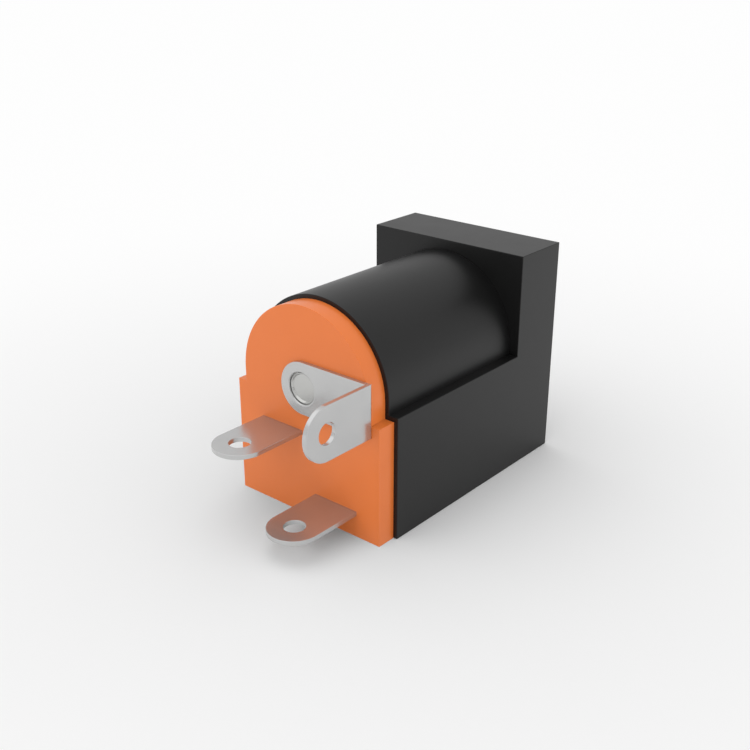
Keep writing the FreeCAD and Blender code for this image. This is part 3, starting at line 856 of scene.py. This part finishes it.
# %% Make the sleeve spring
FOOT_LENGTH = 1.6
foot_end = foot_at + FOOT_LENGTH
leaf_length = distances(leaf_line)[-1]
sleeve_outline = lug_tip(SLEEVE_LUG_X) + [Vector(corner) for corner in (
    (SLEEVE_LUG_X + LUG_HALF, foot_at), (LEAF_HALF, foot_at), (LEAF_HALF, leaf_length),
    (-LEAF_HALF, leaf_length), (-LEAF_HALF, foot_end), (SLEEVE_LUG_X - LUG_HALF, foot_end))]
sleeve_mesh = folded(sleeve_outline, [wire_hole(SLEEVE_LUG_X)], leaf_line)
finish_piece("sleeve_spring", sleeve_mesh, tinned_strip)

# %% [markdown]
# ## Centre pin lug
# The third lug lies on the plate round the rivet and is folded out square at the edge of the arch.
# Its blank has two round ends. The fold is sharp, so the path turns in one point and carries the
# stretch of a mitre there, and the outer corner is then rounded as the press leaves it. A small arc
# in the path would round the inner corner too, and in the photo that one is sharp.

# %% The path of the fold
pin_lug_low, pin_lug_high = measured("centre_pin_lug")
fold_x = pin_lug_low.x + STRIP / 2
fold_y = pin_lug_low.y + STRIP / 2
# A point just past the inner corner on each side lets only the outer side stretch.
PAST_CORNER = 0.002
REACH = STRIP / 2 + PAST_CORNER
lug_line = [(pin_lug_high.y, fold_x), (fold_y + REACH, fold_x), (fold_y, fold_x),
            (fold_y, fold_x + REACH), (fold_y, pin_lug_high.x)]
mitre = [1, 1, math.sqrt(2), 1, 1]
lug_length = distances(lug_line)[-1]
# The blank's X is the jack's Z, measured from the plug axis, and the path's height is the jack's X.
ON_EDGE = Matrix(((0, 0, 1, 0), (0, 1, 0, 0), (1, 0, 0, AXIS_UP), (0, 0, 0, 1)))
print("the blank of the lug is %.2f mm long" % lug_length)

# %% Make the centre pin lug
RIVET_HOLE_STEPS = 96
FOLD_ROUND = 0.08


def rounded_fold(mesh, radius):
    """Round the outer corner of the fold."""
    made = bmesh.new()
    made.from_mesh(mesh)
    corner = Vector((pin_lug_low.x, pin_lug_low.y))
    outer = [edge for edge in made.edges
             if all((vert.co.xy - corner).length < HAIR for vert in edge.verts)]
    bmesh.ops.bevel(
        made, geom=outer, offset=radius, offset_type="OFFSET", segments=BEVEL_STEPS, profile=0.5,
        affect="EDGES")
    return as_mesh("rounded", made)


rivet_centre = (0, lug_length - LUG_HALF)
lug_outline = lug_tip(0) + arc(rivet_centre, LUG_HALF, 0, 180, TIP_STEPS)
lug_holes = [wire_hole(0), (circle(rivet_centre, RIVET_HOLE, RIVET_HOLE_STEPS), RIVET_EASE)]
lug_mesh = rounded_fold(folded(lug_outline, lug_holes, lug_line, mitre, ON_EDGE), FOLD_ROUND)
finish_piece("centre_pin_lug", lug_mesh, tinned_strip)

# %% [markdown]
# ## Studio
# The jack stands on a white floor in a light tent: an even sky all round, and a large soft
# sun overhead that deepens the shade under the lugs. Together they light an open white face at a
# level of about 1, so that each colour comes out as it is written. Lamps with edges would show as
# bright patches in the shiny strips. The floor's colour is darker round the jack, a painted shade
# beside the real shadows, and fades to the level of the sky far out, so that low views show no
# hard horizon. Lengths here are in metres.

# %% Floor
FLOOR_RADIUS = 3.0
FLOOR_DROP = 0.00001
# Painted shade: the floor's colour is darkest at the jack and reaches open white a little way off.
PAINTED_SHADE_WHITE = 0.9
OPEN_WHITE = 0.998
FAR_SHARE = 0.81
PAINTED_SHADE_FADE = (0, 0.052)
FAR_FADE = (0.42, 1.0)


def fading(tree, distance, start, end, one, two):
    """A number that changes smoothly between two distances from the jack."""
    node = tree.nodes.new("ShaderNodeMapRange")
    node.interpolation_type = "SMOOTHSTEP"
    node.inputs["From Min"].default_value = start
    node.inputs["From Max"].default_value = end
    node.inputs["To Min"].default_value = one
    node.inputs["To Max"].default_value = two
    tree.links.new(distance, node.inputs["Value"])
    return node.outputs["Result"]


def studio_floor():
    """A wide round matt floor just under the jack: painted shade darkens it near the jack, and it
    fades to the sky's level far out.
    """
    made = bmesh.new()
    bmesh.ops.create_circle(made, cap_ends=True, segments=96, radius=FLOOR_RADIUS)
    mesh = as_mesh("floor", made, Matrix.Translation((0, 0, -FLOOR_DROP)))
    material, tree, shader = new_finish("studio_floor")
    place = tree.nodes.new("ShaderNodeTexCoord")
    far = tree.nodes.new("ShaderNodeVectorMath")
    far.operation = "LENGTH"
    tree.links.new(place.outputs["Object"], far.inputs[0])
    distance = far.outputs["Value"]
    white = tree.nodes.new("ShaderNodeMath")
    white.operation = "MULTIPLY"
    # Painted shade: the floor's colour is darker near the jack, then fades to the sky's level far
    # out.
    tree.links.new(fading(tree, distance, *PAINTED_SHADE_FADE, PAINTED_SHADE_WHITE, OPEN_WHITE), white.inputs[0])
    tree.links.new(fading(tree, distance, *FAR_FADE, 1, FAR_SHARE), white.inputs[1])
    grey = tree.nodes.new("ShaderNodeCombineColor")
    for channel in ("Red", "Green", "Blue"):
        tree.links.new(white.outputs["Value"], grey.inputs[channel])
    tree.links.new(grey.outputs["Color"], shader.inputs["Base Color"])
    shader.inputs["Roughness"].default_value = 1
    shader.inputs["Specular IOR Level"].default_value = 0
    mesh.materials.append(material)
    thing = bench_object("floor", mesh)
    thing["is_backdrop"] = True
    return thing


floor = studio_floor()
print("floor: %.0f m across" % floor.dimensions.x)

# %% Sky and sun
SKY = 0.80
SUN = 0.64
SUN_WIDTH = 80
SUN_FROM = Vector((0.25, 0.3, 1)).normalized()


def studio_sky(strength):
    """An even white sky."""
    world = bpy.data.worlds.new("studio_sky")
    world.use_nodes = True
    tree = world.node_tree
    tree.nodes.clear()
    output = tree.nodes.new("ShaderNodeOutputWorld")
    light = tree.nodes.new("ShaderNodeBackground")
    light.inputs["Color"].default_value = (1, 1, 1, 1)
    light.inputs["Strength"].default_value = strength
    tree.links.new(light.outputs["Background"], output.inputs["Surface"])
    bpy.context.scene.world = world


def soft_sun(strength, width, coming_from):
    """A sun as wide as a soft box overhead, its width in degrees, shining from a direction."""
    data = bpy.data.lights.new("soft_sun", "SUN")
    data.energy = strength
    data.angle = math.radians(width)
    sun = bpy.data.objects.new("soft_sun", data)
    sun.rotation_euler = (-coming_from).to_track_quat("-Z", "Y").to_euler()
    bpy.context.scene.collection.objects.link(sun)


studio_sky(SKY)
soft_sun(SUN, SUN_WIDTH, SUN_FROM)
bpy.context.scene.view_settings.view_transform = "Standard"
print("light on an open white face: %.2f" % (SKY + SUN * SUN_FROM.z / math.pi))

# %% [markdown]
# ## Sizes
# The boxes of the measured solids and of the dressed jack are printed side by side, to show that
# the finish has not changed a size.

# %% Write the sizes and finish
new_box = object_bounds()
for label, (low, high) in (("cad", cad_box), ("visual", new_box)):
    print("%-7s" % label, [round(v / MM, 3) for v in (*low, *high)])
